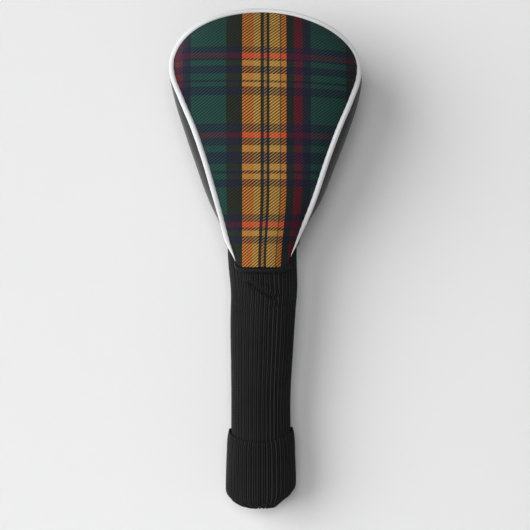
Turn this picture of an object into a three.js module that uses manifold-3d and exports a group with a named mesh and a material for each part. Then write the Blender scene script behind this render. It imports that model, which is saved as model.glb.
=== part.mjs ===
// Driver head cover: a padded pouch with a tartan crown panel, plain black side panels and
// white piping, and a rib-knit sock with a doubled cuff that hangs from it.
// Millimetres, +Z up. The origin is on the axis of the sock, in the plane of its mouth,
// where the shaft comes out. The crown panel faces -Y.
import * as THREE from 'three';
import { mergeVertices } from 'three/addons/utils/BufferGeometryUtils.js';
import Module from 'manifold-3d';

const wasm = await Module();
wasm.setup();

// ---- Driving dimensions ----
const toeTop = 337;          // the highest point of the head
const widest = 64.8;         // half the width over the side panels
const frontBulge = 38.2;     // how far the crown stands forward of the middle
const backBulge = 39.8;      // how far the side panels stand behind it
const crownEnd = 163;        // lower edge of the crown panel
const sideEnd = 177;         // lower edge of the side panels
const padEnd = 180.5;        // lower edge of the foam and the lining
const tubeTop = 107;         // where the part of the sock that bends ends
const tubeEnd = 53.5;        // lower end of the single-layer sock
const cuffTop = 50;          // upper edge of the doubled cuff
const mouth = 6.8;           // radius of the gathered mouth
const gap = 0.3;             // clearance between neighbouring pieces
const clothThick = 1.2;
const foamThick = 2.6;
const liningThick = 1.8;
const knitThick = 1.4;
const pipingRadius = 1.95;
const pipingCore = 1.0;      // radius of the filler cord
const pipingProud = 0.8;     // how far the piping's centre stands out of the cloth
const hemRadius = 1.45;
const tapeThick = 0.8;
const tapeHalf = 4;          // half the width of the tape over the back seam
const crownEdgeHalf = 13.5;  // half the straight part of the crown's lower edge
const crownCorner = 17;      // where its rounded corners would meet the sides if they were sharp
const collarEnd = 160.6;     // lower edge of the knit that is sewn into the head
const neckTop = 159.8;       // upper edge of the part of the sock that bends
const cuffWidest = 23.5;
const cuffThick = 1.3;
const facingHole = 10.2;     // radius of the opening in the turned-in layer
const facingDrop = 1;        // how far its upper edge lies below the cuff's
const elasticRadius = 0.8;
const elasticHeight = 4;     // height of the elastic over the mouth
const squareness = 2.3;      // exponent of the head's rounded cross-section
const sockFlatness = 0.81;   // depth of the sock's section over its width
const headSides = 28;        // facets round the head, and rings up it
const headRings = 14;
const sockSides = 20;
const curvePoints = 240;     // points along each outline below
const cordSides = 6;
const pipingSteps = 60;
const hemSteps = 12;
const far = 100;             // past the widest part of the head

// Half width and height of the head's outline, seen from the front, from the neck to the toe.
const sideOutline = curve([
  [22.7, 148], [23.3, 165], [24.4, 178], [27.8, 188], [38, 208.5], [48.6, 235.6], [55.9, 256],
  [62.3, 276], [widest, 290], [63, 304], [57, 314.8], [49.4, 322.8], [38, 329.4], [24.4, 334],
  [12, 336.3], [0, toeTop],
]);
// Half depth and height of the same outline in side view, as a share of the largest depth.
const depthOutline = curve([
  [0.5, 148], [0.53, 165], [0.57, 178], [0.65, 188], [0.77, 208.5], [0.88, 235.6], [0.95, 256],
  [0.99, 276], [1, 290], [0.95, 304], [0.83, 314.8], [0.7, 322.8], [0.53, 329.4], [0.34, 334],
  [0.17, 336.3], [0, toeTop],
]);
// Half width and height of the piped seam round the crown panel.
const seamOutline = curve([
  [18.6, 169.5], [22.4, 178], [25.7, 188], [32.7, 208.5], [41.2, 235.6], [48.5, 256],
  [56.9, 276], [62.1, 290], [61.1, 304], [55.3, 313.6], [48, 321], [37, 327.4], [24, 332],
  [12, 334.4], [0, 335.1],
]);
// Outer half width of the sock by height, down to the cuff.
const sockOutline = curve([
  [20, tubeEnd], [20.05, 80], [20.5, 95], [21.2, tubeTop], [21.8, 128], [22.2, 144], [22.9, 160],
]);
// The object's centre line: how far it leans to +X at each height.
const leanLine = curve([
  [-2, 0], [-2, 40], [-2, 80], [-1.2, 107], [-0.6, 145], [-1.1, 178], [0.7, 208], [1.3, 235],
  [1.2, 290], [-0.6, 318], [-3.2, toeTop],
]);

// ---- Helpers ----
function curve(points) {
  const path = new THREE.CatmullRomCurve3(points.map(([x, z]) => new THREE.Vector3(x, 0, z)));
  return path.getPoints(curvePoints);
}

// Point i of a curve, moved inwards by depth at right angles to the curve, its x scaled first.
function inset(outline, i, depth, scale = 1) {
  const [a, b] = [outline[Math.max(i - 1, 0)], outline[Math.min(i + 1, outline.length - 1)]];
  const [run, rise] = [(b.x - a.x) * scale, b.z - a.z];
  const length = Math.hypot(run, rise);
  return [outline[i].x * scale - (depth * rise) / length, outline[i].z + (depth * run) / length];
}

// The half width at height z of a curve moved inwards by depth.
function reach(outline, z, depth = 0, scale = 1) {
  let best = 0;
  for (let i = 1; i < outline.length; i += 1) {
    const [ax, az] = inset(outline, i - 1, depth, scale);
    const [bx, bz] = inset(outline, i, depth, scale);
    if (az <= z && z <= bz && az < bz) best = Math.max(best, ax + ((z - az) / (bz - az)) * (bx - ax));
  }
  return best;
}

// How far the centre line leans to +X at height z.
function leanAt(z) {
  const next = leanLine.findIndex((p) => p.z >= z);
  if (next <= 0) return leanLine[0].x;
  const [a, b] = [leanLine[next - 1], leanLine[next]];
  return a.x + ((z - a.z) / (b.z - a.z)) * (b.x - a.x);
}

// The crown's surface in front of the point (x, z), depth below the outside of the cloth.
function crownSurface(x, z, depth) {
  const half = reach(sideOutline, z, depth);
  const forward = reach(depthOutline, z, depth, frontBulge);
  const across = Math.min(1, Math.abs(x) / Math.max(half, 0.01));
  return -forward * (1 - across ** squareness) ** (1 / squareness);
}

function toSolid(geometry) {
  const bare = geometry.clone();
  bare.deleteAttribute('normal');
  bare.deleteAttribute('uv');
  const merged = mergeVertices(bare, 1e-4);
  const vertProperties = new Float32Array(merged.attributes.position.array);
  const triVerts = new Uint32Array(merged.index.array);
  return new wasm.Manifold(new wasm.Mesh({ numProp: 3, vertProperties, triVerts }));
}

function toGeometry(solid) {
  const mesh = solid.getMesh();
  const geometry = new THREE.BufferGeometry();
  geometry.setAttribute('position', new THREE.BufferAttribute(mesh.vertProperties, 3));
  geometry.setIndex(new THREE.BufferAttribute(mesh.triVerts, 1));
  return geometry;
}

// A block between two heights and two x limits, wide enough in y to hold the whole head.
function block(zLow, zHigh, xLow = -far, xHigh = far, yLow = -far, yHigh = far) {
  const box = new THREE.BoxGeometry(xHigh - xLow, yHigh - yLow, zHigh - zLow);
  box.translate((xLow + xHigh) / 2, (yLow + yHigh) / 2, (zLow + zHigh) / 2);
  return toSolid(box);
}

// A closed profile of [radius, height] turned round the Z axis.
function turned(profile, sides) {
  const lathe = new THREE.LatheGeometry(profile.map(([r, z]) => new THREE.Vector2(r, z)), sides);
  lathe.rotateX(Math.PI / 2);
  return lathe;
}

// The whole head as one closed solid, depth below the outside of the cloth.
function headSolid(depth) {
  const top = toeTop - depth;
  const profile = [[0, sideOutline[0].z]];
  for (let i = 0; i < headRings; i += 1) {
    const point = Math.round((i / headRings) * (sideOutline.length - 1));
    profile.push(inset(sideOutline, point, depth));
  }
  profile[0][1] = profile[1][1];
  profile.push([0, top]);
  const head = turned(profile, headSides);
  const place = head.attributes.position;
  const power = 2 / squareness;
  for (let i = 0; i < place.count; i += 1) {
    const [x, y, z] = [place.getX(i), place.getY(i), place.getZ(i)];
    const half = Math.hypot(x, y);
    if (half > 1e-6) {
      const deep = reach(depthOutline, z, depth, y < 0 ? frontBulge : backBulge);
      const across = Math.sign(x) * half * Math.abs(x / half) ** power;
      place.setXY(i, across, Math.sign(y) * deep * Math.abs(y / half) ** power);
    }
  }
  return toSolid(head);
}

// One layer of the head between two depths, above the given height.
function layer(outer, inner, lowest) {
  return headSolid(outer).subtract(headSolid(inner)).intersect(block(lowest, toeTop + far));
}

// The region in front of the seam, grown or shrunk by the clearance, as a tall extrusion.
function crownRegion(grow) {
  const outline = new THREE.Shape();
  const every = 12;
  const side = seamOutline.filter((_, i) => i % every === 0);
  const low = sideOutline[0].z;
  outline.moveTo(-crownEdgeHalf - grow, low);
  outline.lineTo(crownEdgeHalf + grow, low);
  outline.lineTo(crownEdgeHalf + grow, crownEnd);
  outline.quadraticCurveTo(crownCorner + grow, crownEnd, side[0].x + grow, side[0].z);
  side.slice(1, -1).forEach((p) => outline.lineTo(p.x + grow, p.z + (grow * p.z) / toeTop));
  outline.lineTo(0, side[side.length - 1].z + grow);
  side.slice(1, -1).reverse().forEach((p) => outline.lineTo(-p.x - grow, p.z + (grow * p.z) / toeTop));
  outline.lineTo(-side[0].x - grow, side[0].z);
  outline.quadraticCurveTo(-crownCorner - grow, crownEnd, -crownEdgeHalf - grow, crownEnd);
  const region = new THREE.ExtrudeGeometry(outline, { depth: far, bevelEnabled: false, curveSegments: 3 });
  region.rotateX(Math.PI / 2);
  return toSolid(region);
}

// The route of the seam over the head, from the left end of the neck to the right.
function seamPath(depth, steps) {
  const right = [];
  for (let i = 0; i <= steps; i += 1) {
    const p = seamOutline[Math.round((i / steps) * (seamOutline.length - 1))];
    right.push(new THREE.Vector3(p.x, crownSurface(p.x, p.z, depth), p.z));
  }
  const left = right.slice(0, -1).map((p) => new THREE.Vector3(-p.x, p.y, p.z));
  return new THREE.CatmullRomCurve3([...left, ...right.reverse()]);
}

// A round bar, or a tube if it has a core, swept along a path.
function swept(path, radius, core, steps, sides) {
  const circle = (r) => Array.from({ length: sides }, (_, i) => {
    const turn = (2 * Math.PI * i) / sides;
    return new THREE.Vector2(r * Math.cos(turn), r * Math.sin(turn));
  });
  const section = new THREE.Shape(circle(radius));
  if (core) section.holes.push(new THREE.Path(circle(core).reverse()));
  return new THREE.ExtrudeGeometry(section, { extrudePath: path, steps, bevelEnabled: false });
}

// A tube of the sock between two heights, inset from the sock's outside by two depths.
function sockTube(zLow, zHigh, outer, inner, rings) {
  const wall = [];
  for (let i = 0; i <= rings; i += 1) wall.push(zLow + ((zHigh - zLow) * i) / rings);
  const outside = wall.map((z) => [reach(sockOutline, z) - outer, z]);
  const inside = wall.map((z) => [reach(sockOutline, z) - inner, z]).reverse();
  return flattened(turned([...outside, ...inside, outside[0]], sockSides));
}

// Presses a round piece of the sock flat in y, less and less towards the round mouth.
function flattened(geometry) {
  const roundedBelow = 14;
  const place = geometry.attributes.position;
  for (let i = 0; i < place.count; i += 1) {
    const share = Math.min(1, Math.max(0, place.getZ(i) / roundedBelow));
    place.setY(i, place.getY(i) * (1 + (sockFlatness - 1) * share));
  }
  return geometry;
}

// ---- Head ----
const foamDepth = clothThick + gap;
const liningDepth = foamDepth + foamThick + gap;
const innerDepth = liningDepth + liningThick;
const seam = seamPath(-pipingProud, 24);
const pipingRoom = toSolid(swept(seam, pipingRadius + gap, 0, pipingSteps, cordSides));
const hemPath = new THREE.CatmullRomCurve3(
  [[-17.6, 164.6], [-14, 161.4], [-7, 161.1], [0, 161], [7, 161.1], [14, 161.4], [17.6, 164.6]]
    .map(([x, z]) => new THREE.Vector3(x, crownSurface(x, z, 0.4), z)),
);
const hemRoom = toSolid(swept(hemPath, hemRadius + gap, 0, hemSteps, cordSides));
const leftHalf = block(0, toeTop + far, -far, -gap / 2);
const rightHalf = block(0, toeTop + far, gap / 2, far);
const inCrown = crownRegion(-gap / 2);
const outOfCrown = crownRegion(gap / 2);

const pieces = {};

const layers = {
  panel: [0, clothThick, crownEnd, sideEnd],
  foam: [foamDepth, foamDepth + foamThick, padEnd, padEnd],
  lining: [liningDepth, innerDepth, padEnd, padEnd],
};
for (const [name, [outer, inner, crownLow, sideLow]] of Object.entries(layers)) {
  let crown = layer(outer, inner, crownLow).intersect(inCrown);
  let sides = layer(outer, inner, sideLow).subtract(outOfCrown);
  if (name === 'panel') {
    crown = crown.subtract(pipingRoom).subtract(hemRoom);
    sides = sides.subtract(pipingRoom);
  }
  const sideName = name === 'panel' ? 'side_panel' : `side_${name}`;
  pieces[`crown_${name}`] = toGeometry(crown);
  pieces[`left_${sideName}`] = toGeometry(sides.intersect(leftHalf));
  pieces[`right_${sideName}`] = toGeometry(sides.intersect(rightHalf));
}
pieces.piping_cover = swept(seam, pipingRadius, pipingCore + gap, pipingSteps, cordSides);
pieces.piping_cord = swept(seam, pipingCore, 0, pipingSteps, cordSides);
pieces.crown_hem = swept(hemPath, hemRadius, 0, hemSteps, cordSides);

// A tape over the centre seam of the lining, and one round the inside of the neck.
const [backTapeLow, backTapeHigh, backTapeFront] = [padEnd + 4, toeTop - 20, 2];
const backTape = layer(innerDepth + gap, innerDepth + gap + tapeThick, backTapeLow);
pieces.back_seam_tape = toGeometry(
  backTape.intersect(block(padEnd, backTapeHigh, -tapeHalf, tapeHalf, backTapeFront, far)),
);
const collarDepth = clothThick + gap;
const collar = layer(collarDepth, collarDepth + knitThick, collarEnd)
  .intersect(block(collarEnd, padEnd - gap));
pieces.sock_collar = toGeometry(collar.subtract(hemRoom));
const neckTapeDepth = collarDepth + knitThick + gap;
const neckTapeLow = crownEnd + 2;
pieces.neck_tape = toGeometry(
  layer(neckTapeDepth, neckTapeDepth + tapeThick, neckTapeLow)
    .intersect(block(neckTapeLow, padEnd - gap)),
);

// ---- Sock ----
pieces.sock_neck = sockTube(tubeTop, neckTop, 0, knitThick, 4);
pieces.sock_tube = sockTube(tubeEnd, tubeTop - gap, 0, knitThick, 3);

// The doubled cuff: outer layer, turned-in facing, and the elastic that gathers the mouth.
function cuffProfile(depth, top, hole) {
  const wide = cuffWidest - depth;
  return [
    [wide, top], [wide, 17], [wide - 0.8, 11.5 + depth * 0.5], [wide - 4.5, 7.4 + depth * 0.8],
    [wide - 12, 2.7 + depth], [hole, 0.1 + depth],
  ];
}
const cuffOuter = cuffProfile(0, cuffTop, mouth).reverse();
const cuffInner = cuffProfile(cuffThick, cuffTop, mouth);
pieces.sock_cuff = flattened(turned([...cuffOuter, ...cuffInner, cuffOuter[0]], sockSides));
const facingTop = cuffTop - facingDrop;
const facingDepth = cuffThick + gap;
const facingOuter = cuffProfile(facingDepth, facingTop, facingHole).slice(0, -1).reverse();
const facingInner = cuffProfile(facingDepth + cuffThick, facingTop, facingHole).slice(0, -1);
pieces.cuff_facing = flattened(turned([...facingOuter, ...facingInner, facingOuter[0]], sockSides));
const elastic = new THREE.TorusGeometry(mouth + cuffThick, elasticRadius, cordSides - 1, sockSides);
elastic.translate(0, 0, elasticHeight);
pieces.cuff_elastic = flattened(elastic);

// ---- Colours and the finished group ----
const looks = {
  tartan: { color: 0x2f5a50, roughness: 0.75, metalness: 0 },
  black: { color: 0x1b1b1e, roughness: 0.55, metalness: 0 },
  foam: { color: 0xd9d6c8, roughness: 0.95, metalness: 0 },
  fleece: { color: 0x3a3a3e, roughness: 1, metalness: 0 },
  white: { color: 0xe9e9ec, roughness: 0.45, metalness: 0 },
  knit: { color: 0x232325, roughness: 0.95, metalness: 0 },
  tape: { color: 0x2a2a2c, roughness: 0.8, metalness: 0 },
  rubber: { color: 0xbcb7ad, roughness: 0.7, metalness: 0 },
};
function lookOf(name) {
  if (name === 'crown_panel') return looks.tartan;
  if (name.endsWith('_foam')) return looks.foam;
  if (name.endsWith('_lining')) return looks.fleece;
  if (name === 'piping_cover') return looks.white;
  if (name === 'piping_cord') return looks.foam;
  if (name.endsWith('_tape')) return looks.tape;
  if (name === 'cuff_elastic') return looks.rubber;
  if (name.startsWith('sock_') || name === 'cuff_facing') return looks.knit;
  return looks.black;
}

const headCover = new THREE.Group();
for (const [name, geometry] of Object.entries(pieces)) {
  const place = geometry.attributes.position;
  for (let i = 0; i < place.count; i += 1) {
    const z = Math.min(Math.max(place.getZ(i), 0), toeTop);
    place.setX(i, place.getX(i) + leanAt(z));
  }
  const mesh = new THREE.Mesh(geometry, new THREE.MeshStandardMaterial(lookOf(name)));
  mesh.name = name;
  headCover.add(mesh);
}

export default headCover;
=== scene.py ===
import bpy
import math
import numpy as np
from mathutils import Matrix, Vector, noise


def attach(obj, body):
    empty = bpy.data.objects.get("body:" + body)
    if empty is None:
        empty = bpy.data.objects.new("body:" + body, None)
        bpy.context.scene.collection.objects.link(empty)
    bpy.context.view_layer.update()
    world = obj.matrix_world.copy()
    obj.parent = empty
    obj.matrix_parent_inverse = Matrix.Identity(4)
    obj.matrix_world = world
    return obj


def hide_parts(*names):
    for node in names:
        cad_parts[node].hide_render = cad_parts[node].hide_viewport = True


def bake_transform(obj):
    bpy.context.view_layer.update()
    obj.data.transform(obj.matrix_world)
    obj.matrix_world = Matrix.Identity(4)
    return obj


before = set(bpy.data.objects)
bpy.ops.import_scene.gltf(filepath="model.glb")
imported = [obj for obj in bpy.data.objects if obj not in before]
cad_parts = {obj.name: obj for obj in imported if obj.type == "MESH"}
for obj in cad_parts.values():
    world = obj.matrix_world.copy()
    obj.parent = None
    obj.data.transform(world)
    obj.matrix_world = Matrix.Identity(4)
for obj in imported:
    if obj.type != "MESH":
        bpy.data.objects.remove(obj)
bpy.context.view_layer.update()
print("frame loaded:", len(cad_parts), "nodes")

mm = 0.001  # the dictionaries below hold millimetres


def smoothAt(line, at):  # smooth line through (height, value) points
    x, y = np.array(line, float).T
    slope = np.gradient(y, x)
    at = np.clip(np.asarray(at, float), x[0], x[-1])
    i = np.clip(np.searchsorted(x, at) - 1, 0, len(x) - 2)
    wide = x[i + 1] - x[i]
    t = (at - x[i]) / wide
    bend = (t**3 - 2 * t**2 + t) * slope[i] + (t**3 - t**2) * slope[i + 1]
    return (1 - 3 * t**2 + 2 * t**3) * y[i] + (3 * t**2 - 2 * t**3) * y[i + 1] + bend * wide


def fade(low, high, value):  # 0 below low, 1 above high, smooth between
    t = np.clip((value - low) / (high - low), 0, 1)
    return t * t * (3 - 2 * t)


def waves(points, size, seed):  # gentle uneven swell, about -1 to 1, at each point
    shift = Vector((seed * 7.3, seed * 3.1, seed * 5.7))
    return np.array([noise.noise(Vector(p) / size + shift) for p in points])


def deselectAll():
    for obj in bpy.context.selected_objects:
        obj.select_set(False)


def only(obj):  # makes one piece selected and active
    deselectAll()
    obj.select_set(True)
    bpy.context.view_layer.objects.active = obj


def vertsOf(obj):
    flat = np.empty(len(obj.data.vertices) * 3)
    obj.data.vertices.foreach_get("co", flat)
    return flat.reshape(-1, 3)


def moveVerts(obj, places):
    obj.data.vertices.foreach_set("co", np.asarray(places, float).ravel())
    obj.data.update()


def normalsOf(obj):
    flat = np.empty(len(obj.data.vertices) * 3)
    obj.data.vertex_normals.foreach_get("vector", flat)
    return flat.reshape(-1, 3)


def uvFromVerts(obj, name, across, along, wrap=0.0):  # wrap is the value of a whole turn
    layer = obj.data.uv_layers.get(name) or obj.data.uv_layers.new(name=name)
    corner = np.empty(len(obj.data.loops), int)
    obj.data.loops.foreach_get("vertex_index", corner)
    u, v = across[corner].copy(), along[corner]
    if wrap:
        for face in obj.data.polygons:
            part = u[face.loop_start:face.loop_start + face.loop_total]
            if part.max() - part.min() > wrap / 2:
                part[part < part.max() - wrap / 2] += wrap
    layer.data.foreach_set("uv", np.column_stack([u, v]).ravel())


def applyModifier(obj, kind, **settings):
    only(obj)
    modifier = obj.modifiers.new(kind.lower(), kind)
    for name, value in settings.items():
        setattr(modifier, name, value)
    bpy.ops.object.modifier_apply(modifier=modifier.name)


def thicken(obj, thick):  # wall grows inwards from the outer face
    applyModifier(obj, "SOLIDIFY", thickness=thick * mm, offset=-1.0, use_quality_normals=True)


def shadeSmooth(obj):
    only(obj)
    bpy.ops.object.shade_smooth()


def inEdit(obj, mode, *steps):  # runs edit-mode steps on the whole piece
    only(obj)
    bpy.ops.object.mode_set(mode="EDIT")
    bpy.ops.mesh.select_mode(type=mode)
    bpy.ops.mesh.select_all(action="SELECT")
    for step in steps:
        step()
    bpy.ops.object.mode_set(mode="OBJECT")


def put(tree, kind, feeds=None, **settings):  # adds a node and feeds its sockets
    node = tree.nodes.new(kind)
    for name, value in settings.items():
        setattr(node, name, value)
    for socket, value in (feeds or {}).items():
        if isinstance(value, bpy.types.NodeSocket):
            tree.links.new(value, node.inputs[socket])
        else:
            node.inputs[socket].default_value = value
    return node


def calc(tree, operation, a, b=0.0, clamp=False):
    return put(tree, "ShaderNodeMath", {0: a, 1: b}, operation=operation, use_clamp=clamp).outputs[0]


def blendColours(tree, share, a, b):
    return put(tree, "ShaderNodeMix", {0: share, 6: a, 7: b}, data_type="RGBA").outputs[2]


def rgb(r, g, b, alpha=1.0):  # screen values 0-255 to a linear colour
    def linear(c):
        c = c / 255
        return c / 12.92 if c <= 0.04045 else ((c + 0.055) / 1.055) ** 2.4
    return (linear(r), linear(g), linear(b), alpha)


head = {
    "toeTop": 337, "domeFrom": 290, "halfWidth": 64.8, "front": 38.2, "back": 39.8,
    "squareness": 2.3, "seamTop": 335.1, "seamDomeFrom": 297, "seamHalf": 62.6,
    "domePower": 2.2, "domeRoot": 2.1, "deepPower": 0.51,  # roundness of the toe end
    "calmTo": 2, "swellFull": 14,  # distances from the seam where the swell starts and is full
    "side": [(148, 22.7), (165, 23.3), (178, 24.4), (188, 27.8), (208.5, 38), (235.6, 48.6),
             (256, 55.9), (276, 62.3), (290, 64.8), (304, 63.2)],
    "deep": [(148, 0.5), (165, 0.53), (178, 0.57), (188, 0.65), (208.5, 0.77), (235.6, 0.88),
             (256, 0.95), (276, 0.99), (290, 1), (304, 0.955)],
    "seam": [(163, 17), (165.5, 17.7), (169.5, 18.9), (178, 22.4), (188, 25.7), (208.5, 32.7),
             (235.6, 41.2), (256, 48.5), (276, 56.9), (290, 61.9), (297, 62.6), (304, 61.7)],
    "lean": [(0, -2), (40, -2), (80, -2), (107, -1.2), (145, -0.6), (178, -1.1), (208, 0.7),
             (235, 1.3), (290, 1.2), (318, -0.6), (337, -3.2)],
}


def leanAt(z):
    return smoothAt(head["lean"], z)


def halfAt(z):  # half the head's width at a height
    t = np.clip((z - head["domeFrom"]) / (head["toeTop"] - head["domeFrom"]), 0, 1)
    dome = head["halfWidth"] * (1 - t ** head["domePower"]) ** (1 / head["domeRoot"])
    return np.where(z < head["domeFrom"], smoothAt(head["side"], z), dome)


def deepAt(z):  # depth at a height, as a share of the deepest
    t = np.clip((z - head["domeFrom"]) / (head["toeTop"] - head["domeFrom"]), 0, 1)
    return np.where(z < head["domeFrom"], smoothAt(head["deep"], z), (1 - t**2) ** head["deepPower"])


def seamAt(z):  # half width of the piped seam at a height
    t = np.clip((z - head["seamDomeFrom"]) / (head["seamTop"] - head["seamDomeFrom"]), 0, 1)
    dome = head["seamHalf"] * np.sqrt(1 - t**2)
    return np.where(z < head["seamDomeFrom"], smoothAt(head["seam"], z), dome)


def frontOf(x, z):  # y of the head's front face at (x, z)
    across = np.clip(np.abs(x) / np.maximum(halfAt(z), 0.01), 0, 1)
    power = head["squareness"]
    return -head["front"] * deepAt(z) * (1 - across**power) ** (1 / power)


def newGroup(name, inputs, outputs):
    group = bpy.data.node_groups.new(name, "ShaderNodeTree")
    for title, kind, value in inputs:
        socket = group.interface.new_socket(title, in_out="INPUT", socket_type=kind)
        socket.default_value = value
    for title, kind in outputs:
        group.interface.new_socket(title, in_out="OUTPUT", socket_type=kind)
    return group, group.nodes.new("NodeGroupInput").outputs, group.nodes.new("NodeGroupOutput").inputs


clothNoise = {"threadShare": 0.35, "fuzzShare": 0.5, "fuzzScale": 2600.0, "mottleScale": 38.0}


def makeClothGrain():  # fine crossing threads with fuzz, for every woven cloth
    group, given, out = newGroup(
        "clothGrain",
        [("Vector", "NodeSocketVector", (0, 0, 0)), ("Pitch", "NodeSocketFloat", 0.6),
         ("Mottle", "NodeSocketFloat", 0.15)],
        [("Height", "NodeSocketFloat"), ("Tone", "NodeSocketFloat")],
    )
    size = calc(group, "DIVIDE", 2 * math.pi / mm, given["Pitch"])
    place = put(group, "ShaderNodeVectorMath", {0: given["Vector"], "Scale": size}, operation="SCALE")
    parts = put(group, "ShaderNodeSeparateXYZ", {0: place.outputs[0]}).outputs
    crossing = calc(group, "MULTIPLY", calc(group, "SINE", parts[0]), calc(group, "SINE", parts[1]))
    raised = calc(group, "ADD", calc(group, "MULTIPLY", crossing, clothNoise["threadShare"]), 0.5)
    fuzz = put(group, "ShaderNodeTexNoise",
               {"Vector": given["Vector"], "Scale": clothNoise["fuzzScale"], "Detail": 3.0})
    height = calc(group, "ADD", raised, calc(group, "MULTIPLY", fuzz.outputs[0], clothNoise["fuzzShare"]))
    group.links.new(height, out["Height"])
    broad = put(group, "ShaderNodeTexNoise",
                {"Vector": given["Vector"], "Scale": clothNoise["mottleScale"], "Detail": 4.0})
    spread = calc(group, "MULTIPLY", calc(group, "SUBTRACT", broad.outputs[0], 0.5), given["Mottle"])
    group.links.new(calc(group, "ADD", spread, 1.0), out["Tone"])
    return group


def bands(tree, position, stripes, length):  # stripes of (colour, width) as a stepped ramp
    ramp = put(tree, "ShaderNodeValToRGB", {"Fac": position})
    ramp.color_ramp.interpolation = "CONSTANT"
    done = 0.0
    for number, (colour, width) in enumerate(stripes):
        stop = ramp.color_ramp.elements[0] if number == 0 else ramp.color_ramp.elements.new(done / length)
        stop.position = done / length
        stop.color = colour
        done += width
    ramp.color_ramp.elements.remove(ramp.color_ramp.elements[-1])
    return ramp


# colour of each thread where it shows lightest, where it is shaded, and how light the column is
threads = {
    "darkRed": ((90, 32, 40), (68, 25, 31), 0.0),
    "navy": ((38, 43, 52), (28, 34, 42), 0.0),
    "green": ((39, 70, 64), (26, 52, 47), 0.0),
    "olive": ((42, 46, 38), (30, 33, 27), 0.0),
    "orange": ((184, 118, 60), (84, 42, 12), 1.0),
    "gold": ((180, 142, 78), (90, 64, 20), 1.0),
    "black": ((54, 50, 32), (34, 32, 20), 0.1),
    "amber": ((156, 120, 78), (72, 50, 25), 0.8),
    "brown": ((112, 84, 48), (66, 46, 22), 0.5),
    "darkGreen": ((38, 42, 38), (28, 31, 28), 0.0),
}
# weft colour and cover over dark columns, then over light columns
wefts = {
    "plain": ((36, 60, 56), 0.0, (150, 95, 50), 0.0),
    "navy": ((29, 31, 48), 0.76, (36, 33, 36), 0.7),
    "red": ((66, 24, 42), 0.76, (176, 48, 40), 0.8),
    "bright": ((40, 66, 62), 0.1, (176, 132, 62), 0.35),
    "faint": ((34, 40, 46), 0.15, (96, 62, 30), 0.25),
}
sett = {
    "across": [("darkRed", 5.6), ("navy", 5.4), ("green", 23.7), ("olive", 10.8), ("orange", 7.4),
               ("gold", 4.8), ("black", 2.2), ("amber", 1.8), ("black", 1.9), ("gold", 6.8),
               ("brown", 0.9), ("orange", 3.5), ("darkGreen", 5.1)],
    "firstAcross": -60,     # x where one repeat starts
    "down": [("plain", 8.4), ("faint", 6), ("plain", 10.2), ("navy", 4), ("red", 3.3), ("navy", 2),
             ("bright", 3.4), ("navy", 5.3), ("bright", 4), ("navy", 1.5), ("bright", 2.9),
             ("navy", 5.8), ("plain", 19), ("navy", 5.9), ("red", 3.6), ("navy", 4.9),
             ("bright", 4.4), ("navy", 8), ("bright", 4), ("navy", 2.2), ("bright", 3.6),
             ("navy", 5.3), ("plain", 18.3), ("navy", 4.8), ("red", 3.6), ("navy", 2.6),
             ("bright", 3.1), ("navy", 5.3), ("plain", 30)],
    "firstDown": 334.5,     # height of the first row
    "twillAcross": 2.64, "twillDown": 2.07,  # spacing of the twill lines
    "twillEdge": 0.55,      # softness of their edges
}


def makeTartanWeave():  # crossing colour stripes with slanting twill lines
    group, given, out = newGroup(
        "tartanWeave", [("Sett", "NodeSocketVector", (0, 0, 0))],
        [("Color", "NodeSocketColor"), ("Twill", "NodeSocketFloat")],
    )
    parts = put(group, "ShaderNodeSeparateXYZ", {0: given["Sett"]}).outputs
    wide = sum(width for _, width in sett["across"])
    tall = sum(width for _, width in sett["down"])
    # the map holds millimetres: x across, y down from the first row
    turn = calc(group, "FRACT", calc(group, "DIVIDE", parts[0], wide))
    fall = calc(group, "DIVIDE", parts[1], tall)
    slant = calc(group, "ADD", calc(group, "DIVIDE", parts[0], sett["twillAcross"]),
                 calc(group, "DIVIDE", parts[1], sett["twillDown"]))
    wave = calc(group, "SINE", calc(group, "MULTIPLY", slant, 2 * math.pi))
    edge = sett["twillEdge"]
    twill = put(group, "ShaderNodeMapRange", {"Value": wave, "From Min": -edge, "From Max": edge},
                interpolation_type="SMOOTHSTEP").outputs[0]
    light = bands(group, turn, [(rgb(*threads[n][0], threads[n][2]), w) for n, w in sett["across"]], wide)
    shade = bands(group, turn, [(rgb(*threads[n][1]), w) for n, w in sett["across"]], wide)
    onDark = bands(group, fall, [(rgb(*wefts[n][0], wefts[n][1]), w) for n, w in sett["down"]], tall)
    onLight = bands(group, fall, [(rgb(*wefts[n][2], wefts[n][3]), w) for n, w in sett["down"]], tall)
    warp = blendColours(group, twill, shade.outputs[0], light.outputs[0])
    weft = blendColours(group, light.outputs[1], onDark.outputs[0], onLight.outputs[0])
    cover = put(group, "ShaderNodeMix", {0: light.outputs[1], 2: onDark.outputs[1], 3: onLight.outputs[1]})
    lift = calc(group, "SUBTRACT", 1.5, twill)  # the weft shows most between the twill lines
    share = calc(group, "MULTIPLY", cover.outputs[0], lift, clamp=True)
    group.links.new(blendColours(group, share, warp, weft), out["Color"])
    group.links.new(twill, out["Twill"])
    return group


# the two shade shares are painted shade: how much the colour darkens in the grooves between ribs and in the
# gaps between stitch rows
knitLook = {"chevron": 0.5, "aside": 0.5, "grooveFrom": 0.16, "grooveTo": 0.42, "darkest": 0.9,
            "lightest": 1.1, "groovePaintedShade": 0.8, "gapPaintedShade": 0.7}


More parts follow.
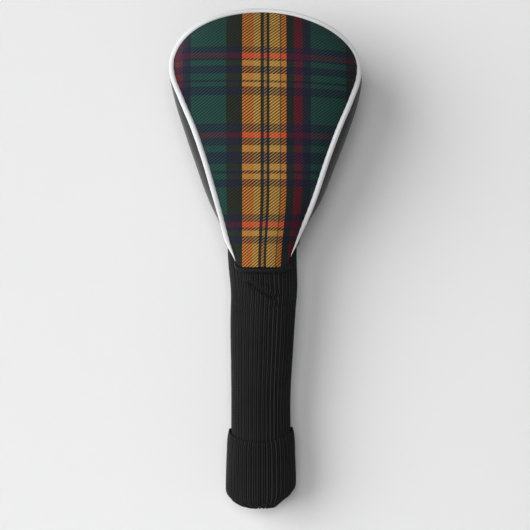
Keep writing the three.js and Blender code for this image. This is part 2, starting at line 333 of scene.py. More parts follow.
def makeKnitStitch():  # columns of small stitches; the map counts columns and rows
    group, given, out = newGroup(
        "knitStitch", [("Stitches", "NodeSocketVector", (0, 0, 0))],
        [("Height", "NodeSocketFloat"), ("Groove", "NodeSocketFloat"), ("Gap", "NodeSocketFloat"),
         ("Tone", "NodeSocketFloat")],
    )
    parts = put(group, "ShaderNodeSeparateXYZ", {0: given["Stitches"]}).outputs
    side = calc(group, "ABSOLUTE", calc(group, "SUBTRACT", calc(group, "FRACT", parts[0]), 0.5))
    column = calc(group, "FLOOR", parts[0])
    aside = calc(group, "MULTIPLY", calc(group, "MODULO", column, 2.0), knitLook["aside"])
    chevron = calc(group, "MULTIPLY", side, knitLook["chevron"])
    row = calc(group, "ADD", calc(group, "ADD", parts[1], aside), chevron)
    bow = calc(group, "SINE", calc(group, "MULTIPLY", calc(group, "FRACT", row), math.pi))
    groove = put(group, "ShaderNodeMapRange",
                 {"Value": side, "From Min": knitLook["grooveFrom"], "From Max": knitLook["grooveTo"]},
                 interpolation_type="SMOOTHSTEP").outputs[0]
    rise = calc(group, "MULTIPLY", bow, calc(group, "SUBTRACT", 1.0, groove))
    uneven = put(group, "ShaderNodeTexWhiteNoise", {"W": column}, noise_dimensions="1D").outputs[0]
    spread = put(group, "ShaderNodeMapRange",
                 {"Value": uneven, "To Min": knitLook["darkest"], "To Max": knitLook["lightest"]})
    group.links.new(spread.outputs[0], out["Tone"])
    group.links.new(rise, out["Height"])
    group.links.new(groove, out["Groove"])
    group.links.new(calc(group, "SUBTRACT", 1.0, bow), out["Gap"])
    return group


groups = {"grain": makeClothGrain(), "tartan": makeTartanWeave(), "stitch": makeKnitStitch()}


def newMaterial(name, **values):
    material = bpy.data.materials.new(name)
    material.use_nodes = True
    tree = material.node_tree
    shader = tree.nodes["Principled BSDF"]
    for socket, value in values.items():
        shader.inputs[socket.replace("_", " ")].default_value = value
    return material, tree, shader


def useGroup(tree, key, feeds):
    return put(tree, "ShaderNodeGroup", feeds, node_tree=groups[key]).outputs


def addBump(tree, shader, height, strength, distance, before=None):
    feeds = {"Height": height, "Strength": strength, "Distance": distance * mm}
    if before is not None:
        feeds["Normal"] = before
    bump = put(tree, "ShaderNodeBump", feeds)
    tree.links.new(bump.outputs[0], shader.inputs["Normal"])
    return bump.outputs[0]


def toneColour(tree, shader, colour, tone):
    node = put(tree, "ShaderNodeVectorMath", {0: colour, "Scale": tone}, operation="SCALE")
    tree.links.new(node.outputs[0], shader.inputs["Base Color"])


def objectPlace(tree):
    return put(tree, "ShaderNodeTexCoord").outputs["Object"]


def tartanFinish():
    material, tree, shader = newMaterial("tartanCloth", Roughness=0.8, Specular_IOR_Level=0.06)
    pattern = useGroup(tree, "tartan", {"Sett": put(tree, "ShaderNodeUVMap", uv_map="sett").outputs[0]})
    grain = useGroup(tree, "grain", {"Vector": objectPlace(tree), "Pitch": 0.55, "Mottle": 0.25})
    toneColour(tree, shader, pattern["Color"], grain["Tone"])
    first = addBump(tree, shader, pattern["Twill"], strength=0.35, distance=0.12)
    addBump(tree, shader, grain["Height"], strength=0.3, distance=0.08, before=first)
    return material


def blackClothFinish():
    material, tree, shader = newMaterial(
        "blackCloth", Specular_IOR_Level=0.2, Sheen_Weight=0.02, Sheen_Roughness=0.35)
    grain = useGroup(tree, "grain", {"Vector": objectPlace(tree), "Pitch": 0.7, "Mottle": 0.5})
    toneColour(tree, shader, (0.01, 0.01, 0.0105), grain["Tone"])
    rough = put(tree, "ShaderNodeMapRange", {"Value": grain["Tone"], "From Min": 0.85, "From Max": 1.15,
                                             "To Min": 0.42, "To Max": 0.58})
    tree.links.new(rough.outputs[0], shader.inputs["Roughness"])
    addBump(tree, shader, grain["Height"], strength=0.35, distance=0.1)
    return material


def pipingFinish():
    material, tree, shader = newMaterial("whitePiping", Roughness=0.42, Coat_Weight=0.1)
    grain = useGroup(tree, "grain", {"Vector": objectPlace(tree), "Pitch": 0.5, "Mottle": 0.08})
    toneColour(tree, shader, (0.66, 0.66, 0.67), grain["Tone"])
    wrinkle = put(tree, "ShaderNodeTexNoise", {"Vector": objectPlace(tree), "Scale": 420.0, "Detail": 3.0})
    first = addBump(tree, shader, wrinkle.outputs[0], strength=0.25, distance=0.25)
    addBump(tree, shader, grain["Height"], strength=0.15, distance=0.04, before=first)
    return material


def knitFinish(name, colour):
    material, tree, shader = newMaterial(
        name, Roughness=0.92, Specular_IOR_Level=0.06, Sheen_Weight=0.03, Sheen_Roughness=0.35)
    stitches = put(tree, "ShaderNodeUVMap", uv_map="stitches").outputs[0]
    stitch = useGroup(tree, "stitch", {"Stitches": stitches})
    grain = useGroup(tree, "grain", {"Vector": objectPlace(tree), "Pitch": 0.35, "Mottle": 0.6})
    tone = calc(tree, "MULTIPLY", stitch["Tone"], grain["Tone"])
    # painted shade: the colour is darkened in the grooves between ribs and in the gaps between stitch rows
    for mask, share in (("Groove", knitLook["groovePaintedShade"]), ("Gap", knitLook["gapPaintedShade"])):
        kept = calc(tree, "SUBTRACT", 1.0, calc(tree, "MULTIPLY", stitch[mask], share))
        tone = calc(tree, "MULTIPLY", tone, kept)
    toneColour(tree, shader, colour, tone)
    first = addBump(tree, shader, stitch["Height"], strength=0.6, distance=0.35)
    addBump(tree, shader, grain["Height"], strength=0.5, distance=0.15, before=first)
    return material


def plainFinish(name, colour, pitch, rough, bump):
    material, tree, shader = newMaterial(name, Roughness=rough, Specular_IOR_Level=0.2)
    grain = useGroup(tree, "grain", {"Vector": objectPlace(tree), "Pitch": pitch, "Mottle": 0.4})
    toneColour(tree, shader, colour, grain["Tone"])
    addBump(tree, shader, grain["Height"], strength=0.5, distance=bump)
    return material


finishes = {
    "tartan": tartanFinish(),
    "black": blackClothFinish(),
    "piping": pipingFinish(),
    "knit": knitFinish("ribKnit", (0.0295, 0.0295, 0.03)),
    "binding": plainFinish("blackBinding", (0.006, 0.0065, 0.008), pitch=0.5, rough=0.75, bump=0.1),
    "padding": plainFinish("wadding", (0.72, 0.7, 0.64), pitch=1.6, rough=0.95, bump=0.5),
    "fleece": plainFinish("fleecePile", (0.05, 0.05, 0.055), pitch=1.1, rough=1.0, bump=0.6),
    "elastic": plainFinish("coveredElastic", (0.5, 0.48, 0.44), pitch=0.8, rough=0.8, bump=0.2),
    "thread": plainFinish("blackThread", (0.03, 0.03, 0.033), pitch=0.3, rough=0.55, bump=0.05),
}
print("finishes ready")


def finishPiece(obj, finish):
    obj.data.materials.clear()
    obj.data.materials.append(finishes[finish])


crown = {
    "columns": 120, "rows": 170, "thick": 1.1, "lowest": 163, "cornerFrom": 13, "corner": 4.9,
    "cornerStop": 0.05,  # the rounding ends just short of its own radius
    "shoulder": 304, "ditch": 1.1, "ditchWide": 1.5, "droop": 3.2,
    "swell": 0.35, "swellSize": 34, "swellSeed": 1,
    "gather": 0.135, "gatherEdge": 15,  # the cloth draws in to the right of this at the neck
    "gatherHigh": 216, "gatherLow": 160, "droopLow": 215, "droopHigh": 300, "edgeHeight": 165.5,
    "pucker": 0.16, "puckerTurns": 190, "puckerSlant": 6, "puckerFrom": 2.6, "puckerWide": 2.2,
}


def crownPatch(a, b):  # a from -1 to 1 across, b from 0 to 1 upwards, to (x, z)
    shoulder = crown["shoulder"]
    atShoulder = float(seamAt(np.array(float(shoulder))))
    atEdge = float(seamAt(np.array(crown["edgeHeight"])))

    def lowAt(across):  # lower edge, with its rounded corners
        past = np.clip(across - crown["cornerFrom"], 0, crown["corner"] - crown["cornerStop"])
        return crown["lowest"] + crown["corner"] - np.sqrt(crown["corner"] ** 2 - past**2)

    low, lowEdge = lowAt(np.abs(a) * atEdge), float(lowAt(atEdge))
    reach = np.clip(np.abs(a) * atShoulder / head["seamHalf"], 0, 1)
    high = head["seamDomeFrom"] + (head["seamTop"] - head["seamDomeFrom"]) * np.sqrt(1 - reach**2)
    z = low + b * (high - low)
    return a * seamAt(lowEdge + b * (shoulder - lowEdge)), z


def edgeDistance(places, columns, rows, sides):  # distance over the cloth to the named edges
    grid = places.reshape(rows + 1, columns + 1, 3)
    across = np.linalg.norm(np.diff(grid, axis=1), axis=2)
    along = np.linalg.norm(np.diff(grid, axis=0), axis=2)
    zeroA, zeroB = np.zeros((rows + 1, 1)), np.zeros((1, columns + 1))
    fromLeft = np.hstack([zeroA, across.cumsum(1)])
    fromLow = np.vstack([zeroB, along.cumsum(0)])
    found = {
        "left": fromLeft, "right": fromLeft[:, -1:] - fromLeft,
        "low": fromLow, "high": fromLow[-1:] - fromLow,
    }
    return np.minimum.reduce([found[side] for side in sides]).ravel()


def makeCrown():
    columns, rows = crown["columns"], crown["rows"]
    bpy.ops.mesh.primitive_grid_add(x_subdivisions=columns, y_subdivisions=rows, size=2)
    piece = bpy.context.object
    piece.name = "tartanCrown"
    start = vertsOf(piece)
    a, b = start[:, 0], (start[:, 1] + 1) / 2
    x, z = crownPatch(a, b)
    places = np.column_stack([x, frontOf(x, z), z])
    moveVerts(piece, places)
    out = normalsOf(piece)
    edge = edgeDistance(places, columns, rows, ["left", "right", "high"])
    sink = crown["ditch"] * np.exp(-((edge / crown["ditchWide"]) ** 2))
    swell = crown["swell"] * waves(places, crown["swellSize"], crown["swellSeed"])
    swell = swell * fade(head["calmTo"], head["swellFull"], edge)
    pucker = crown["pucker"] * np.sin(b * crown["puckerTurns"] + a * crown["puckerSlant"])
    pucker = pucker * np.exp(-((edge - crown["puckerFrom"]) / crown["puckerWide"]) ** 2)
    places = places + out * (swell + pucker - sink)[:, None]
    rightward = (x / head["seamHalf"] + 1) / 2
    drop = crown["droop"] * rightward**2 * fade(crown["droopLow"], crown["droopHigh"], z)
    drawn = crown["gather"] * fade(crown["gatherHigh"], crown["gatherLow"], z)
    across = x + leanAt(z) + drawn * (x + crown["gatherEdge"]) - sett["firstAcross"]
    down = sett["firstDown"] - (z + drop)
    uvFromVerts(piece, "sett", across, down)
    places[:, 0] += leanAt(z)
    moveVerts(piece, places * mm)
    piece.data.uv_layers.remove(piece.data.uv_layers[0])
    thicken(piece, crown["thick"])
    shadeSmooth(piece)
    finishPiece(piece, "tartan")
    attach(piece, "head")
    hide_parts("crown_panel")


makeCrown()
print("crown panel done")


side = {
    "columns": 64, "rows": 150, "thick": 1.1, "lowest": 177, "ditch": 1.0, "ditchWide": 1.5,
    "backDitch": 0.8, "backWide": 1.3, "hemRoll": 0.5, "hemFrom": 2.5, "hemWide": 1.2,
    "swell": 0.6, "swellSize": 24, "swellTall": 0.6, "swellSeed": 3,
    "backCalm": 1, "backFull": 8, "toeCalm": 1, "toeFull": 12,
    "overToe": 62,  # length of cloth that the rows over the toe get
    "weld": 0.02,
}


def makeSidePanel(name, hand):  # hand is 1 on the right and -1 on the left
    columns, rows = side["columns"], side["rows"]
    bpy.ops.mesh.primitive_grid_add(x_subdivisions=columns, y_subdivisions=rows, size=2)
    piece = bpy.context.object
    piece.name = name
    start = vertsOf(piece)
    a, b = (start[:, 0] + 1) / 2, (start[:, 1] + 1) / 2
    # heights run evenly up the wall and then round the dome
    upWall = head["domeFrom"] - side["lowest"]
    share = upWall / (upWall + side["overToe"])
    dome = np.sin(np.clip((b - share) / (1 - share), 0, 1) * math.pi / 2)
    z = np.where(b < share, side["lowest"] + upWall * b / share,
                 head["domeFrom"] + (head["toeTop"] - head["domeFrom"]) * dome)
    half, power = halfAt(z), head["squareness"]
    inside = np.clip(seamAt(z) / np.maximum(half, 0.01), 0, 1) * (z < head["seamTop"])
    seamTurn = -np.arccos(inside ** (power / 2))
    turn = seamTurn + a * (math.pi / 2 - seamTurn)
    deep = np.where(turn < 0, head["front"], head["back"]) * deepAt(z)
    x = half * np.sign(np.cos(turn)) * np.abs(np.cos(turn)) ** (2 / power)
    y = deep * np.sign(np.sin(turn)) * np.abs(np.sin(turn)) ** (2 / power)
    places = np.column_stack([x, y, z])
    moveVerts(piece, places)
    out = normalsOf(piece)
    out[b > 0.999] = (0, 0, 1)  # the top row meets in one point at the toe
    toSeam = edgeDistance(places, columns, rows, ["left"])
    toBack = edgeDistance(places, columns, rows, ["right"])
    toHem = edgeDistance(places, columns, rows, ["low"])
    sink = side["ditch"] * np.exp(-((toSeam / side["ditchWide"]) ** 2)) * (z < head["seamTop"])
    sink = sink + side["backDitch"] * np.exp(-((toBack / side["backWide"]) ** 2))
    calm = fade(head["calmTo"], head["swellFull"], toSeam)
    calm = calm * fade(side["backCalm"], side["backFull"], toBack)
    calm = calm * fade(head["toeTop"] - side["toeCalm"], head["toeTop"] - side["toeFull"], z)
    uneven = waves(places * (1, 1, side["swellTall"]), side["swellSize"], side["swellSeed"] + hand)
    swell = side["swell"] * uneven * calm
    hem = side["hemRoll"] * np.exp(-((toHem - side["hemFrom"]) / side["hemWide"]) ** 2)
    places = places + out * (swell - sink + hem)[:, None]
    places[:, 0] = np.maximum(places[:, 0], 0) * hand + leanAt(z)
    moveVerts(piece, places * mm)
    steps = [lambda: bpy.ops.mesh.remove_doubles(threshold=side["weld"] * mm)]
    if hand < 0:
        steps.append(lambda: bpy.ops.mesh.flip_normals())
    inEdit(piece, "VERT", *steps)
    thicken(piece, side["thick"])
    shadeSmooth(piece)
    finishPiece(piece, "black")
    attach(piece, "head")
    return piece


rightSide = makeSidePanel("rightSideCloth", 1)
leftSide = makeSidePanel("leftSideCloth", -1)
for piece, node in ((rightSide, "right"), (leftSide, "left")):
    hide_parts(node + "_side_panel")


topstitch = {"pitch": 4.2, "length": 2.9, "radius": 0.3, "aside": 2.4, "proud": 0.12, "low": 182,
             "high": 326, "bluntness": 0.6}


def backOf(x, z):  # y of the head's back face at (x, z)
    return -frontOf(x, z) * head["back"] / head["front"]


def makeTopstitch():  # two rows of stitches beside the centre-back seam
    bpy.ops.mesh.primitive_uv_sphere_add(segments=8, ring_count=6, radius=mm)
    first = bpy.context.object
    shape = vertsOf(first)
    shape[:, 0] *= topstitch["radius"]
    shape[:, 1] *= topstitch["radius"]
    blunt = np.abs(shape[:, 2] / mm) ** topstitch["bluntness"]
    shape[:, 2] = np.sign(shape[:, 2]) * blunt * topstitch["length"] / 2 * mm
    copies = []
    z = float(topstitch["low"])
    while z < topstitch["high"]:
        for hand in (-1, 1):
            x = hand * topstitch["aside"]
            y = float(backOf(np.array(x), np.array(z)))
            slope = float(backOf(np.array(x), np.array(z + 1.0))) - y
            along = Vector((0, slope, 1)).normalized()
            outward = Vector((0, 1, -slope)).normalized()
            place = Vector((x + float(leanAt(z)), y, z)) + outward * topstitch["proud"]
            copy = first.copy()
            copy.data = first.data.copy()
            bpy.context.scene.collection.objects.link(copy)
            base = np.array([outward.cross(along), outward, along])
            moveVerts(copy, shape @ base + np.array(place) * mm)
            copies.append(copy)
        z += topstitch["pitch"] / math.hypot(1, slope)
    bpy.data.objects.remove(first)
    only(copies[0])
    for copy in copies:
        copy.select_set(True)
    bpy.ops.object.join()
    piece = bpy.context.object
    piece.name = "backTopstitch"
    shadeSmooth(piece)
    finishPiece(piece, "thread")
    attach(piece, "head")


makeTopstitch()
print("side panels done")


piping = {"radius": 1.95, "proud": 0.64, "points": 150, "tipShare": 0.03, "tipForward": 1.3,
          "forwardFrom": 22, "forwardFull": 4,
          "lowLeft": 166.9, "lowRight": 170.2, "tipFromLeft": 17.0, "tipFromRight": 25.0,
          "cordRadius": 1.2, "cordFrom": 6.0, "rounding": 6, "cordRounding": 4,
          "uneven": 0.02, "unevenSize": 6, "unevenSeed": 9}
# the hem's route from its middle to its right end; the left half mirrors it
hem = {"radius": 1.7, "behind": 0.5, "steps": 60, "taper": 9, "endShare": 0.45, "rounding": 6,
       "route": [(0, 160.8), (6, 160.9), (12.6, 161.2), (15.6, 162.2), (17.4, 164.2), (17.9, 166.4)]}


def sweptCord(name, route, radii, rounding):
    bpy.ops.curve.primitive_bezier_curve_add()
    cord = bpy.context.object
    cord.name = name
    cord.data.splines.clear()
    line = cord.data.splines.new("POLY")
    line.points.add(len(route) - 1)
    for point, place, radius in zip(line.points, route, radii):
        point.co = (*(place * mm), 1)
        point.radius = radius
    cord.data.bevel_depth = mm
    cord.data.bevel_resolution = rounding
    cord.data.use_fill_caps = True
    only(cord)
    bpy.ops.object.convert(target="MESH")
    cord = bpy.context.object
    shadeSmooth(cord)
    return cord


def halfRoute(low, hand):  # the seam from its low end at the neck up to the toe
    up = np.linspace(low, head["seamDomeFrom"], piping["points"])
    rise = np.linspace(0, math.pi / 2, piping["points"])[1:]
    z = np.concatenate([up, head["seamDomeFrom"] + (head["seamTop"] - head["seamDomeFrom"]) * np.sin(rise)])
    x = np.concatenate([seamAt(up), head["seamHalf"] * np.cos(rise)])
    y = frontOf(x, z) - piping["proud"]
    return np.column_stack([hand * x + leanAt(z), y, z])


def makePiping():  # the white cover and, inside it, its cord
    left, right = halfRoute(piping["lowLeft"], -1), halfRoute(piping["lowRight"], 1)
    route = np.vstack([left, right[::-1][1:]])
    along = np.concatenate([[0], np.linalg.norm(np.diff(route, axis=0), axis=1).cumsum()])
    toEnd = np.minimum(along, along[-1] - along)
    tipFrom = np.where(along < along[-1] / 2, piping["tipFromLeft"], piping["tipFromRight"])
    tip = piping["tipShare"] + (1 - piping["tipShare"]) * np.clip(toEnd / tipFrom, 0, 1)
    # the points lie on top of the hem
    route[:, 1] -= piping["tipForward"] * fade(piping["forwardFrom"], piping["forwardFull"], toEnd)
    uneven = 1 + piping["uneven"] * waves(route, piping["unevenSize"], piping["unevenSeed"])
    cover = sweptCord("pipingCloth", route, piping["radius"] * tip * uneven, piping["rounding"])
    finishPiece(cover, "piping")
    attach(cover, "head")
    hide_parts("piping_cover")
    filled = toEnd > piping["cordFrom"]
    radii = piping["cordRadius"] * tip[filled]
    cord = sweptCord("pipingFilling", route[filled], radii, piping["cordRounding"])
    finishPiece(cord, "padding")
    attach(cord, "head")
    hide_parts("piping_cord")


def makeHem():
    right = np.array(hem["route"], float)
    route = np.vstack([right[:0:-1] * (-1, 1), right])
    count = np.arange(hem["steps"] + 1)
    at = count * (len(route) - 1) / hem["steps"]
    x = np.interp(at, range(len(route)), route[:, 0])
    z = np.interp(at, range(len(route)), route[:, 1])
    y = frontOf(x, z) + hem["behind"]
    ends = np.minimum(count, hem["steps"] - count)
    radii = hem["radius"] * (hem["endShare"] + (1 - hem["endShare"]) * fade(0, hem["taper"], ends))
    piece = sweptCord("crownHemBand", np.column_stack([x + leanAt(z), y, z]), radii, hem["rounding"])
    finishPiece(piece, "binding")
    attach(piece, "head")
    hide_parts("crown_hem")


makePiping()
makeHem()
print("piping done")


# each rib has two columns of stitches; a row of them is as high as the course
knit = {"ribs": 44, "perRib": 8, "ribHeight": 0.7, "roundness": 0.7, "groove": 0.6, "columns": 2,
        "course": 1.39, "lowest": 0.9, "highest": 1.1, "seed": 5}
sock = {
    "low": 45, "creaseLow": 128, "creaseHigh": 160, "high": 179, "coarse": 2.1, "fine": 0.85, "thick": 1.1,
    "width": [(52, 19.9), (80, 19.95), (95, 20.4), (107, 21.1), (128, 21.7), (144, 22.2), (160, 22.9),
              (180, 23.3)],
    "front": [(52, 16.1), (80, 16.1), (107, 17), (144, 17.9), (160, 18.4), (166, 18.7), (180, 20.1)],
    "back": [(52, 16.1), (80, 16.1), (107, 17), (144, 18.2), (160, 19), (166, 19.6), (180, 21.2)],
    "lineWide": 1.6, "rollAbove": 3.4, "rollWide": 2.3, "rollShare": 0.5, "lineFade": 3.5,
    "plainBelow": 80, "looseAbove": 98,     # the cuff slides over the plain length
    "wobble": 0.5, "wobbleSize": 16, "wobbleTall": 0.4, "wobbleSeed": 5, "wobbleAbove": 82,
    "swell": 0.55, "swellSize": 15, "swellTall": 0.5, "swellSeed": 6,
    "nudge": 0.5, "nudgeAt": 148, "nudgeWide": 12, "inset": 0.1, "meanRadius": 21,
    "creased": 156, "uncreased": 163,       # the creases fade out between these heights
    # creases: centre round the sock and height, half length and rise of its line, depth
    "creases": [(-0.5, 146.8, 7, -4.2, 3.1), (-13, 134, 6, -1, 0.7), (14, 138, 7, 2, 0.8),
                (60, 146, 8, 3, 0.8), (46, 137, 9, -2, 0.9)],
}


def ringTube(name, count, profile):  # circle extruded ring by ring through (radius, height)
    radius, height = profile[0]
    bpy.ops.mesh.primitive_circle_add(vertices=count, radius=radius * mm, fill_type="NOTHING",
                                      location=(0, 0, height * mm))
    tube = bpy.context.object
    tube.name = name
    only(tube)
    bpy.ops.object.transform_apply(location=True, rotation=False, scale=False)
    bpy.ops.object.mode_set(mode="EDIT")
    bpy.ops.mesh.select_mode(type="EDGE")
    bpy.ops.mesh.select_all(action="SELECT")
    for nextRadius, nextHeight in profile[1:]:
        step = (0, 0, (nextHeight - height) * mm)
        bpy.ops.mesh.extrude_region_move(TRANSFORM_OT_translate={"value": step})
        grow = nextRadius / radius
        bpy.ops.transform.resize(value=(grow, grow, 1), center_override=(0, 0, nextHeight * mm))
        radius, height = nextRadius, nextHeight
    bpy.ops.object.mode_set(mode="OBJECT")
    return tube


def ribRise(turn):  # rounded ribs of uneven height with narrow grooves between them
    ribs = knit["ribs"]
    rib = np.floor(turn / (2 * math.pi) * ribs + 0.001).astype(int) % ribs  # safe from rounding
    uneven = np.random.default_rng(knit["seed"]).uniform(knit["lowest"], knit["highest"], ribs)[rib]
    phase = np.abs(np.sin(turn * ribs / 2))
    return knit["ribHeight"] * (phase ** knit["roundness"] * uneven - knit["groove"])


def creaseDepth(around, z):
    depth = np.zeros_like(z)
    for centre, height, reach, rise, deep in sock["creases"]:
        step = np.clip((around - centre) / reach, -1, 1)
        off = z - height - step * rise
        past = np.maximum(np.abs(around - centre) - reach, 0)
        groove = np.exp(-((off / sock["lineWide"]) ** 2))
        roll = np.exp(-(((off - sock["rollAbove"]) / sock["rollWide"]) ** 2))
        line = groove - sock["rollShare"] * roll
        depth += deep * line * np.exp(-((past / sock["lineFade"]) ** 2))
    return depth


def makeSock():
    heights = np.concatenate([
        np.arange(sock["low"], sock["creaseLow"], sock["coarse"]),
        np.arange(sock["creaseLow"], sock["creaseHigh"], sock["fine"]),
        np.arange(sock["creaseHigh"], sock["high"], sock["coarse"]),
    ])
    profile = [(float(smoothAt(sock["width"], z)), float(z)) for z in heights]
    piece = ringTube("ribKnitSock", knit["ribs"] * knit["perRib"], profile)
    start = vertsOf(piece) / mm
    z = start[:, 2]
    turn = np.arctan2(start[:, 1], start[:, 0])
    wide = smoothAt(sock["width"], z)
    deep = np.where(turn < 0, smoothAt(sock["front"], z), smoothAt(sock["back"], z))
    around = (turn + math.pi / 2) * (wide + deep) / 2
    past = around > math.pi * sock["meanRadius"]
    around = np.where(past, around - 2 * math.pi * (wide + deep) / 2, around)
    loose = fade(sock["plainBelow"], sock["looseAbove"], z)
    sway = waves(start * (1, 1, sock["wobbleTall"]), sock["wobbleSize"], sock["wobbleSeed"])
    wobble = sock["wobble"] * sway * fade(sock["wobbleAbove"], sock["looseAbove"], z)
    bulge = waves(start * (1, 1, sock["swellTall"]), sock["swellSize"], sock["swellSeed"])
    swell = sock["swell"] * bulge * loose
    inward = creaseDepth(around, z) * loose * fade(sock["uncreased"], sock["creased"], z)
    proud = swell - inward + ribRise(turn) - sock["inset"]
    turned = turn + wobble / wide
    x = (wide + proud) * np.cos(turned)
    y = (deep + proud) * np.sin(turned)
    nudge = sock["nudge"] * np.exp(-(((z - sock["nudgeAt"]) / sock["nudgeWide"]) ** 2))
    moveVerts(piece, np.column_stack([x + leanAt(z) + nudge, y, z]) * mm)
    columns = knit["ribs"] * knit["columns"]
    uvFromVerts(piece, "stitches", turn / (2 * math.pi) * columns, z / knit["course"], columns)
    inEdit(piece, "FACE", lambda: bpy.ops.mesh.normals_make_consistent(inside=False))
    thicken(piece, sock["thick"])
    shadeSmooth(piece)
    finishPiece(piece, "knit")
    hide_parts("sock_collar", "sock_neck", "sock_tube")
    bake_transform(piece)


makeSock()
print("sock done")


cuff = {
    "thick": 0.6, "pleats": 23, "pleatHeight": 0.7, "wallRings": 50, "domeRings": 34, "domeTilt": 1.8,
    "rimLow": 36, "rimHigh": 54, "rimSag": 8.2, "rimTilt": 0.9,  # the rim dips in front and to the left
    "frontPower": 1.2, "sagPower": 0.8, "domeLow": 14, "domeHigh": 27, "pleatRadius": 12, "pleatWide": 6,
    "pleatBelow": 16, "stray": 2, "straySize": 30, "straySeed": 8,
    "swell": 0.25, "swellSize": 12, "swellTall": 0.6, "swellBelow": 48, "swellFull": 38,
    "ribAtMouth": 0.35, "narrow": 8, "wide": 18,  # the ribs are low in the mouth and full from wide
    "lowest": 0.1, "roundBelow": 15, "flatness": 0.81, "wallLift": 60,
    # half width and height: down the wall, then in to the mouth at the sides and at the front
    "wall": [(21, 54.4), (21.15, 54.8), (21.4, 54.2), (21.85, 52.4), (22.3, 50), (22.6, 47), (22.8, 43),
             (22.95, 39), (23.2, 30), (23.5, 20), (23.5, 15)],
    "sides": [(23.5, 15), (22.8, 12.2), (20, 8.8), (15.5, 5.8), (11.4, 2.9), (8.8, 1), (7.4, 0.7),
              (6.9, 1.3), (7, 2.6)],
    "front": [(23.5, 15), (23.3, 11), (22.8, 7.4), (21.6, 4.9), (19, 3.2), (14, 1.9), (8.8, 0.9),
              (7.4, 0.7), (6.9, 1.3), (7, 2.6)],
}
facing = {
    "thick": 0.9, "wallRings": 26, "domeRings": 18,
    "wall": [(20.9, 43.2), (21.3, 43.7), (21.55, 42.8), (21.7, 38), (21.75, 30), (21.7, 18)],
    "sides": [(21.7, 18), (21, 13.8), (19, 10.6), (14, 7.2), (10.6, 5.6)],
    "front": [(21.7, 18), (21.6, 10), (21, 6.4), (19.4, 4.9), (14, 4.5), (10.6, 4.6)],
}


def alongProfile(points, count):  # even steps along a smooth line through the points
    points = np.array(points, float)
    steps = np.concatenate([[0], np.linalg.norm(np.diff(points, axis=0), axis=1).cumsum()])
    at = np.linspace(0, steps[-1], count)
    radii = smoothAt(np.column_stack([steps, points[:, 0]]), at)
    heights = smoothAt(np.column_stack([steps, points[:, 1]]), at)
    return np.column_stack([radii, heights])


def makeCuffLayer(name, form, seed):
    wall = alongProfile(form["wall"], form["wallRings"])
    sides = np.vstack([wall, alongProfile(form["sides"], form["domeRings"])[1:]])
    front = np.vstack([wall, alongProfile(form["front"], form["domeRings"])[1:]])
    piece = ringTube(name, knit["ribs"] * knit["perRib"], sides)
    start = vertsOf(piece) / mm
    turn = np.arctan2(start[:, 1], start[:, 0])
    radius = np.hypot(start[:, 0], start[:, 1])
    off = np.abs(sides[:, 0] - radius[:, None]) + np.abs(sides[:, 1] - start[:, 2, None])
    ring = off.argmin(axis=1)
    facingUs = np.abs(np.sin(turn))[:, None] ** cuff["frontPower"]
    radius, z = ((1 - facingUs) * sides[ring] + facingUs * front[ring]).T
    # the wall is pressed flat, and the mouth stays round
    pressed = fade(0, cuff["roundBelow"], z + cuff["wallLift"] * (radius > cuff["pleatRadius"]))
    x = radius * np.cos(turn)
    y = radius * np.sin(turn) * (1 - (1 - cuff["flatness"]) * pressed)
    moveVerts(piece, np.column_stack([x, y, z]))
    inEdit(piece, "FACE", lambda: bpy.ops.mesh.normals_make_consistent(inside=False))
    out = normalsOf(piece)
    wide = fade(cuff["narrow"], cuff["wide"], radius)
    rib = ribRise(turn) * (cuff["ribAtMouth"] + (1 - cuff["ribAtMouth"]) * wide)
    bulge = waves(start * (1, 1, cuff["swellTall"]), cuff["swellSize"], seed)
    swell = cuff["swell"] * bulge * wide * fade(cuff["swellBelow"], cuff["swellFull"], z)
    stray = cuff["stray"] * waves(start * (1, 1, 0), cuff["straySize"], cuff["straySeed"])
    pleat = cuff["pleatHeight"] * np.cos(turn * cuff["pleats"] + stray) * (z < cuff["pleatBelow"])
    pleat = pleat * np.exp(-(((radius - cuff["pleatRadius"]) / cuff["pleatWide"]) ** 2))
    sag = cuff["rimSag"] * np.clip(-np.sin(turn), 0, 1) ** cuff["sagPower"]
    sag = (sag + cuff["rimTilt"] * (1 - np.cos(turn)) / 2) * fade(cuff["rimLow"], cuff["rimHigh"], z)
    tilt = cuff["domeTilt"] * np.cos(turn) * wide * fade(cuff["domeHigh"], cuff["domeLow"], z)
    places = np.column_stack([x + leanAt(z), y, z + tilt - sag]) + out * (rib + swell + pleat)[:, None]
    places[:, 2] = np.maximum(places[:, 2], cuff["lowest"])
    moveVerts(piece, places * mm)
    course = np.concatenate([[0], np.linalg.norm(np.diff(sides, axis=0), axis=1).cumsum()])
    stitchRow = course[ring] / knit["course"]
    columns = knit["ribs"] * knit["columns"]
    uvFromVerts(piece, "stitches", turn / (2 * math.pi) * columns, stitchRow, columns)
    thicken(piece, form["thick"])
    shadeSmooth(piece)
    finishPiece(piece, "knit")
    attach(piece, "cuff")
    return piece


cuffOuter = makeCuffLayer("gatheredCuff", cuff, seed=11)
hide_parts("sock_cuff")
cuffFacing = makeCuffLayer("turnedFacing", facing, seed=13)
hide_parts("cuff_facing")
print("cuff done")


inside = {
    "crown_foam": "padding", "left_side_foam": "padding", "right_side_foam": "padding",
    "crown_lining": "fleece", "left_side_lining": "fleece", "right_side_lining": "fleece",
    "back_seam_tape": "binding", "neck_tape": "binding",
    "cuff_elastic": "elastic",
}
for node, finish in inside.items():
    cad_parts[node].data.materials.clear()
    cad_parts[node].data.materials.append(finishes[finish])


studio = {"distance": 1.6, "across": 0.3588, "centreX": 0.0007, "centreZ": 0.1645, "wall": 0.0215,
          "wallLean": 4.4, "floor": -0.06, "paperSize": 6}  # metres and degrees


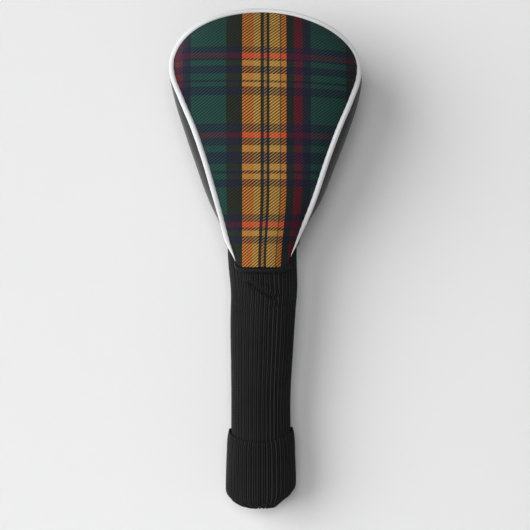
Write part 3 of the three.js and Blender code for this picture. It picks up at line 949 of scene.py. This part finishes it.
def makeCamera():
    bpy.ops.object.camera_add(location=(studio["centreX"], -studio["distance"], studio["centreZ"]),
                              rotation=(math.radians(90), 0, 0))
    camera = bpy.context.object
    camera.name = "studioCamera"
    camera.data.lens = camera.data.sensor_width * studio["distance"] / studio["across"]
    bpy.context.scene.camera = camera


# the last three values paint shade on the wall and floor: across that span the paint darkens to the last
# value times its tone
backdrop = {"wallTone": 0.79, "floorTone": 0.42, "cloud": 0.03, "paintedShadeFrom": -0.1, "paintedShadeTo": 0.18,
            "fall": 0.93}


def backdropFinish(name, tone):  # pale paint with painted shade that darkens it towards the right, see-through from behind and to shadow rays
    material, tree, shader = newMaterial(name, Roughness=0.9)
    cloud = put(tree, "ShaderNodeTexNoise", {"Vector": objectPlace(tree), "Scale": 1.5})
    shade = put(tree, "ShaderNodeMapRange",
                {"Value": cloud.outputs[0], "To Min": tone, "To Max": tone + backdrop["cloud"]})
    across = put(tree, "ShaderNodeSeparateXYZ", {0: objectPlace(tree)}).outputs[0]
    # painted shade: the paint darkens towards the right
    fall = put(tree, "ShaderNodeMapRange",
               {"Value": across, "From Min": backdrop["paintedShadeFrom"], "From Max": backdrop["paintedShadeTo"],
                "To Min": 1.0, "To Max": backdrop["fall"]}).outputs[0]
    tree.links.new(calc(tree, "MULTIPLY", shade.outputs[0], fall), shader.inputs["Base Color"])
    clear = put(tree, "ShaderNodeBsdfTransparent")
    behind = put(tree, "ShaderNodeNewGeometry").outputs["Backfacing"]
    passing = put(tree, "ShaderNodeLightPath").outputs["Is Shadow Ray"]
    unseen = calc(tree, "MAXIMUM", behind, passing)
    both = put(tree, "ShaderNodeMixShader", {0: unseen, 1: shader.outputs[0], 2: clear.outputs[0]})
    tree.links.new(both.outputs[0], tree.nodes["Material Output"].inputs[0])
    return material


def makeBackdrop():
    lean = math.radians(90 - studio["wallLean"])
    size = studio["paperSize"]
    bpy.ops.mesh.primitive_plane_add(size=size, location=(0, studio["wall"], 0), rotation=(lean, 0, 0))
    wall = bpy.context.object
    wall.name = "backdropWall"
    wall.data.materials.append(backdropFinish("paleWall", backdrop["wallTone"]))
    bpy.ops.mesh.primitive_plane_add(size=size, location=(0, 0, studio["floor"]))
    floor = bpy.context.object
    floor.name = "backdropFloor"
    floor.data.materials.append(backdropFinish("paleFloor", backdrop["floorTone"]))


# degrees from straight in front to the left, degrees up, spread and power
suns = {
    "windowLight": (47, 12, 54, 2.6),
    "frontFill": (2, 10, 24, 0.98),
    "rearLeft": (140, 3, 56, 5.6),
    "rearRight": (-130, 40, 60, 0.4),
}


def addSun(name, across, up, spread, power):
    bpy.ops.object.light_add(type="SUN", location=(0, 0, 1))
    light = bpy.context.object
    light.name = name
    light.data.angle = math.radians(spread)
    light.data.energy = power
    light.rotation_euler = (math.radians(90 - up), 0, math.radians(-across))


makeCamera()
makeBackdrop()
for name, values in suns.items():
    addSun(name, *values)
world = bpy.data.worlds.new("studioWorld")
world.use_nodes = True
world.node_tree.nodes["Background"].inputs["Color"].default_value = (0.9, 0.92, 0.95, 1)
world.node_tree.nodes["Background"].inputs["Strength"].default_value = 0.03
bpy.context.scene.world = world
bpy.context.scene.view_settings.view_transform = "Standard"
print("studio ready")
